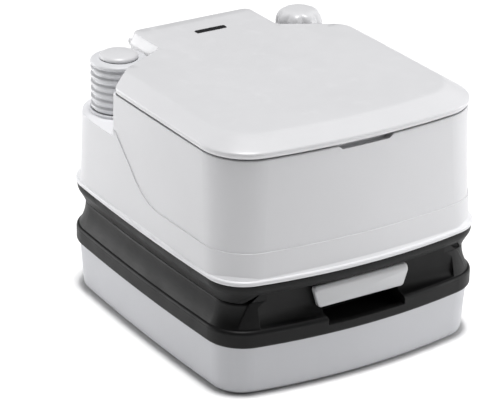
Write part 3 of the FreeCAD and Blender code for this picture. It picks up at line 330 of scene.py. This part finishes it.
def fan(vertices, start, count, turn):
    """Triangles from a ring's points to a new point in its middle."""
    ring = vertices[start:start + count]
    vertices.append(tuple(sum(p[k] for p in ring) / count for k in range(3)))
    middle = len(vertices) - 1
    ids = [(start + n, start + (n + 1) % count, middle) for n in range(count)]
    return ids if turn > 0 else [(b, a, m) for a, b, m in ids]


def lathed(profile, centre, closed=False, swell=None, steps=96):
    """A (radius, z) profile turned about a vertical line, with swell(radius, angle, z) added."""
    rings = []
    for radius, z in profile:
        radius = max(radius, POLE_R)
        ring = []
        for n in range(steps):
            angle = 2 * math.pi * n / steps
            r = radius + (swell(radius, angle, z) if swell else 0.0)
            ring.append((centre[0] + r * math.cos(angle), centre[1] + r * math.sin(angle), z))
        rings.append(ring)
    return banded(rings, closed)


def corner_points(before, here, after, radius):
    """Points on the arc that rounds a corner between two straight runs."""
    u, v = (before - here).normalized(), (after - here).normalized()
    half_angle = u.angle(v) / 2
    centre = here + (u + v).normalized() * (radius / math.sin(half_angle))
    start = here + u * (radius / math.tan(half_angle)) - centre
    end = here + v * (radius / math.tan(half_angle)) - centre
    points = []
    for k in range(CORNER_STEPS + 1):
        arm = (start * (CORNER_STEPS - k) + end * k).normalized() * radius
        points.append(centre + arm)
    return points


def together(parts):
    """Several (vertices, faces) as one."""
    vertices, faces = [], []
    for some, some_faces in parts:
        faces += [tuple(i + len(vertices) for i in face) for face in some_faces]
        vertices += some
    return vertices, faces


def box_piece(low, high):
    """A box's eight corners and six faces, for cutting."""
    vertices = [(x, y, z) for x in (low[0], high[0]) for y in (low[1], high[1]) for z in (low[2], high[2])]
    faces = [(0, 1, 3, 2), (4, 6, 7, 5), (0, 4, 5, 1), (2, 3, 7, 6), (0, 2, 6, 4), (1, 5, 7, 3)]
    return vertices, faces


def cut(piece, vertices, faces):
    """Takes a closed solid out of a piece."""
    mesh = bpy.data.meshes.new("cutter")
    mesh.from_pydata([[c * MM for c in v] for v in vertices], [], faces)
    cutter = bpy.data.objects.new("cutter", mesh)
    bpy.context.scene.collection.objects.link(cutter)
    modifier = piece.modifiers.new("cut", "BOOLEAN")
    modifier.operation, modifier.solver, modifier.object = "DIFFERENCE", "EXACT", cutter
    graph = bpy.context.evaluated_depsgraph_get()
    piece.data = bpy.data.meshes.new_from_object(piece.evaluated_get(graph))
    piece.modifiers.clear()
    bpy.data.objects.remove(cutter)


# ---------------------------------------------------------------- the pump and the vent
PUMP = (-136.0, 147.5)
BELLOWS_LOW, BELLOWS_HIGH, PUMP_STROKE = 250.0, 309.0, 40.0
BELLOWS_RIBS = 6
BELLOWS_R, BELLOWS_BORE_R = 35.6, 28.5
GROOVE_DEPTH, GROOVE_SHARPNESS = 3.0, 1.8
RIB_SAMPLES = 14
PLATE_FLOOR = BELLOWS_HIGH + 3         # where the button stands in the plate


def add_bellows():
    """Round-backed ribs with narrow grooves."""
    height = BELLOWS_HIGH - BELLOWS_LOW
    samples = BELLOWS_RIBS * RIB_SAMPLES
    profile = [(BELLOWS_BORE_R, BELLOWS_HIGH), (BELLOWS_BORE_R, BELLOWS_LOW)]
    for n in range(samples + 1):
        groove = (0.5 + 0.5 * math.cos(2 * math.pi * BELLOWS_RIBS * n / samples)) ** GROOVE_SHARPNESS
        profile.append((BELLOWS_R - GROOVE_DEPTH * groove, BELLOWS_LOW + height * n / samples))
    shape = lathed(profile, PUMP, closed=True)
    piece = add_piece("bellows", *shape, "section", "white_pump", "pump_bellows")
    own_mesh(piece)


def add_pump_head():
    """The round plate on top of the bellows, and the domed button in its middle."""
    z = BELLOWS_HIGH
    plate = [(0, z), (34.6, z), (35.6, z + 0.4), (36, z + 1.4), (36, z + 3), (35.6, z + 4.2),
             (34.3, z + 5.4), (31.5, z + 6.1), (27, z + 6.4), (15, z + 6.5), (15, PLATE_FLOOR),
             (0, PLATE_FLOOR)]
    add_piece("pump_plate", *lathed(plate, PUMP), "pump", "white_pump", "pump_top")
    z = PLATE_FLOOR
    button = [(0, z), (14.9, z), (14.9, z + 3.7), (23.4, z + 3.7), (24.3, z + 4.4), (24.5, z + 5.6),
              (24.2, z + 7.0), (23.0, z + 8.4), (20.5, z + 9.6), (16, z + 10.6), (9, z + 11.4),
              (0, z + 11.8)]
    add_piece("pump_button", *lathed(button, PUMP), "pump", "white_cover", "pump_cap")


def add_vent_spring():
    """The vent's spring, as a copy that rides with the waste tank."""
    spring = frame["nodes"]["vent_spring"].copy()
    spring.data = spring.data.copy()
    spring.name = "vent_coil"
    bpy.context.scene.collection.objects.link(spring)
    spring.parent = None
    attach(spring, "waste_tank")
    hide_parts("vent_spring")
    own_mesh(spring)


# ---------------------------------------------------------------- the filler's cap and the handle
CAP = (134.0, 151.0)
CAP_LOW, CAP_HIGH = 292.0, 330.0
CAP_BORE_R, CAP_BORE_HIGH = 26.5, 316.6
CAP_LOBES, LOBE_HEIGHT, LOBE_SINK = 8, 3.4, 2.0
LOBES_HIGH, LOBES_FADE = 329.2, 4.0    # where the lobes end, and over how much height they fade


def add_fill_cap():
    """The filler's cap: a dome with grip lobes that fade out towards its top, and a bore below."""
    def lobes(radius, angle, z):
        in_bore = radius < CAP_BORE_R + 0.1 and z < CAP_BORE_HIGH + 0.1
        if in_bore or z < CAP_LOW + 0.2 or z > LOBES_HIGH:
            return 0.0
        wave = abs(math.cos(CAP_LOBES * angle / 2))
        return (LOBE_HEIGHT * wave - LOBE_SINK) * min(1.0, (LOBES_HIGH - z) / LOBES_FADE)
    bore = [(0, CAP_BORE_HIGH), (CAP_BORE_R, CAP_BORE_HIGH), (CAP_BORE_R, CAP_LOW + 0.4)]
    skirt = [(27.0, CAP_LOW), (28.6, CAP_LOW), (29.2, CAP_LOW + 0.5), (29.4, CAP_LOW + 2)]
    dome = [(29.4, 304), (29.3, 311), (29.0, 316.8), (27.6, 320.8), (25.4, 324.6), (22.6, 327.4),
            (19.4, 329.0), (16.5, 329.6), (12, 329.85), (0, CAP_HIGH)]
    profile = bore + skirt + dome
    add_piece("filler_cap", *lathed(profile, CAP, swell=lobes), "fill_screw", "white_cover", "fill_cap")


def rounded_trapezoid(half_low, half_high, low, high, radius, y):
    """An upright trapezoid with rounded corners, seen from the front, as points at that y."""
    corners = [Vector(c) for c in ((-half_low, low), (half_low, low), (half_high, high), (-half_high, high))]
    points = []
    for n, here in enumerate(corners):
        points += corner_points(corners[n - 1], here, corners[(n + 1) % 4], radius)
    return [(p.x, y, p.y) for p in points]


HANDLE_HALF_LOW, HANDLE_HALF_HIGH = 61.0, 69.0
HANDLE_LOW, HANDLE_HIGH, HANDLE_ROUND = 98.0, 126.0, 4.0
BOSS_HALF, BOSS_LOW, BOSS_HIGH, BOSS_ROUND = 44.0, 106.0, 118.0, 1.5
BOSS_LEVELS = (-190.4, -192.0, -193.6)
HANDLE_LEVELS = [                      # y, inset of the edges, and how much further in the top edge is
    (-193.0, 0.8, 0.0), (-193.4, 0.2, 0.0), (-194.0, 0.0, 0.0), (-197.6, 0.0, 0.1), (-198.4, 0.05, 0.7),
    (-200.2, 0.25, 3.2), (-200.7, 0.6, 4.0), (-201.0, 1.3, 4.6),
]


def add_handle():
    """The valve's pull handle: a soft-edged bar, wider and bevelled at its top, with a boss behind."""
    bar = []
    for y, inset, top in HANDLE_LEVELS:
        bar.append(rounded_trapezoid(HANDLE_HALF_LOW - inset, HANDLE_HALF_HIGH - inset, HANDLE_LOW + inset,
                                     HANDLE_HIGH - inset - top, HANDLE_ROUND - inset / 2, y))
    boss = [rounded_trapezoid(BOSS_HALF, BOSS_HALF, BOSS_LOW, BOSS_HIGH, BOSS_ROUND, y)
            for y in BOSS_LEVELS]
    shape = together([banded(bar[::-1]), banded(boss[::-1])])
    add_piece("pull_handle", *shape, "blade", "grey_handle", "valve_handle")


# ---------------------------------------------------------------- the lid
LID_HALF, LID_FRONT, LID_REAR = 185.0, -200.5, 202.0
LID_BAND, LID_BOW = 23.0, 17.7         # width of the sloping band, and how far the front bows out
LID_LOW, LID_TOP = 303.0, 324.5
LID_WALL, LID_CEILING = 3.0, 321.5
TONGUE_HALF = 92.2
SHOULDER_OUT, SHOULDER_IN = (184.5, 76.0), (93.0, 128.0)
SHOULDER_SLOPE = (SHOULDER_IN[1] - SHOULDER_OUT[1]) / (SHOULDER_OUT[0] - SHOULDER_IN[0])
SHOULDER_GAP = 0.8                     # room to the tank, square to the slanted shoulder
SHOULDER_FORWARD = 1.15                # how far forward a millimetre square to it comes out
FRONT_ROUND = 61.0                     # corner radii: at the front, then along the shoulder and tongue
SIDE_ROUND, TONGUE_ROUND, REAR_ROUND = 18.0, 12.0, 9.0
TOP_FRONT_IN, TOP_TONGUE_IN, TOP_REAR_IN = 28.5, 6.0, 1.5     # how far in the top's edges are
TOP_ROUND_LESS = 6.0                   # how much smaller the front corners are round the top
LID_CENTRE = (0.0, -20.0)
ARC_STEPS = 12
RUN_POINTS = (14, 8, 6)                # points inside the straight runs at the side, shoulder and tongue
HINGE_Y, HINGE_Z = 207.0, 307.0
KNUCKLE_R, KNUCKLE_BEVEL, KNUCKLE_STEPS = 4.6, 0.5, 40
LID_KNUCKLES = [(-72.0, -60.0), (60.0, 72.0)]
OTHER_KNUCKLES = [(-86.0, -80.0), (-52.0, -40.0), (-4.0, 4.0), (40.0, 52.0), (80.0, 86.0)]
HINGE_GAP = 0.8                        # room left round the knuckles of the tank and the seat


def spread(start, end, count):
    """Points inside a straight run, without its ends."""
    return [start.lerp(end, (n + 1) / (count + 1)) for n in range(count)]


def lid_ring(band, inset, z):
    """The lid's plan, band in from its lip at the front and sides and inset all round."""
    share = band / LID_BAND
    half = LID_HALF - band - inset
    front = LID_FRONT + TOP_FRONT_IN * share + inset
    tongue = TONGUE_HALF - TOP_TONGUE_IN * share - inset
    rear = LID_REAR - TOP_REAR_IN * share - inset
    corner = FRONT_ROUND - TOP_ROUND_LESS * share - inset

    def shoulder(x):
        ahead = (SHOULDER_GAP + inset) * SHOULDER_FORWARD
        return SHOULDER_IN[1] - (x - SHOULDER_IN[0]) * SHOULDER_SLOPE - ahead

    front_r = (half ** 2 + LID_BOW ** 2) / (2 * LID_BOW)
    centre = Vector((0, front + front_r))
    cx = half - corner
    cy = centre.y - math.sqrt((front_r - corner) ** 2 - cx ** 2)
    reach = (Vector((cx, cy)) - centre).normalized()
    end_angle = math.atan2(reach.x, -reach.y)
    right = []
    for n in range(ARC_STEPS + 1):
        angle = end_angle * n / ARC_STEPS
        right.append(centre + front_r * Vector((math.sin(angle), -math.cos(angle))))
    for n in range(1, ARC_STEPS + 1):
        angle = end_angle + (math.pi / 2 - end_angle) * n / ARC_STEPS
        right.append(Vector((cx, cy)) + corner * Vector((math.sin(angle), -math.cos(angle))))
    path = [right[-1], Vector((half, shoulder(half))), Vector((tongue, shoulder(tongue))),
            Vector((tongue, rear)), Vector((0, rear))]
    position = path[0]
    rounds = (SIDE_ROUND + inset, TONGUE_ROUND, REAR_ROUND)
    for before, here, after, radius, run in zip(path, path[1:], path[2:], rounds, RUN_POINTS):
        arc = corner_points(before, here, after, radius)
        right += spread(position, arc[0], run) + arc
        position = arc[-1]
    right += spread(position, path[-1], ARC_STEPS) + [path[-1]]
    left = [Vector((-p.x, p.y)) for p in right[-2:0:-1]]
    return [(p.x, p.y, z) for p in right + left]


def shrunk(ring, scale, z):
    """A ring drawn in towards the lid's middle."""
    return [(LID_CENTRE[0] + (x - LID_CENTRE[0]) * scale, LID_CENTRE[1] + (y - LID_CENTRE[1]) * scale, z)
            for x, y, _ in ring]


LID_OUTSIDE = [                        # band, z, from the lip's lower edge up to the top
    (1.9, LID_LOW), (1.4, 303.3), (0.8, 304.6), (0.3, 306.4), (0.0, 308.4), (0.0, 309.4),
    (0.25, 310.3), (0.9, 311.0), (2.2, 312.0), (5.0, 313.8), (12.0, 318.2), (19.0, 322.4),
    (21.0, 323.4), (22.6, 323.85), (24.5, 324.0),
]
LID_CROWN = [                          # scale, z, of the shallow crown inside the band
    (0.93, 324.15), (0.8, 324.3), (0.6, 324.4), (0.4, 324.47), (0.2, LID_TOP), (0.05, LID_TOP),
]
LID_UNDERSIDE = [(0.0, LID_LOW), (0.0, 308.5), (2.0, 310.5), (20.0, 320.5), (LID_BAND, 321.4)]
CEILING_SCALES = (0.7, 0.35, 0.05)


def lid_body():
    """The lid as a closed shell: crowned top, sloping band, upright lip and hollow underside."""
    outside = [lid_ring(band, 0.0, z) for band, z in LID_OUTSIDE]
    outside += [shrunk(outside[-1], scale, z) for scale, z in LID_CROWN]
    inside = [lid_ring(band, LID_WALL, z) for band, z in LID_UNDERSIDE]
    inside += [shrunk(inside[-1], scale, LID_CEILING) for scale in CEILING_SCALES]
    return banded(inside[::-1] + outside)


def knuckle(span):
    """A hinge barrel and the arm that joins it to the lid's rear wall."""
    x0, x1 = span
    turns = [2 * math.pi * n / KNUCKLE_STEPS for n in range(KNUCKLE_STEPS)]
    ring = [(math.cos(turn), math.sin(turn)) for turn in turns]
    bevel = KNUCKLE_BEVEL
    levels = [(x0, KNUCKLE_R - bevel), (x0 + bevel, KNUCKLE_R), (x1 - bevel, KNUCKLE_R),
              (x1, KNUCKLE_R - bevel)]
    barrel = banded([[(x, HINGE_Y + r * c, HINGE_Z + r * s) for c, s in ring] for x, r in levels])
    arm = box_piece((x0, LID_REAR - 2, HINGE_Z + 0.5), (x1, HINGE_Y, HINGE_Z + KNUCKLE_R - 0.05))
    return [barrel, arm]


def add_lid():
    """The lid with room for the hinge's other knuckles, and its own knuckles as a second piece."""
    piece = add_piece("lid_cover", *lid_body(), "lid_body", "white_cover", "lid")
    for x0, x1 in OTHER_KNUCKLES:
        low = (x0 - HINGE_GAP, LID_REAR - 10, LID_LOW - 5)
        high = (x1 + HINGE_GAP, LID_REAR + 10, HINGE_Z + KNUCKLE_R + HINGE_GAP)
        cut(piece, *box_piece(low, high))
    hinge = together([p for span in LID_KNUCKLES for p in knuckle(span)])
    add_piece("lid_knuckles", *hinge, "lid_body", "white_cover", "lid")


# ---------------------------------------------------------------- the scene
add_camera()
add_world()
add_sun()
add_light("right_box", 63, 12, 1.9, (1.2, 1.0), 16.5)
add_light("left_box", -140, 7, 1.6, (0.9, 0.55), 10)
add_floor()
dress_nodes()
add_bellows()
add_vent_spring()
add_pump_head()
add_fill_cap()
add_handle()
add_lid()
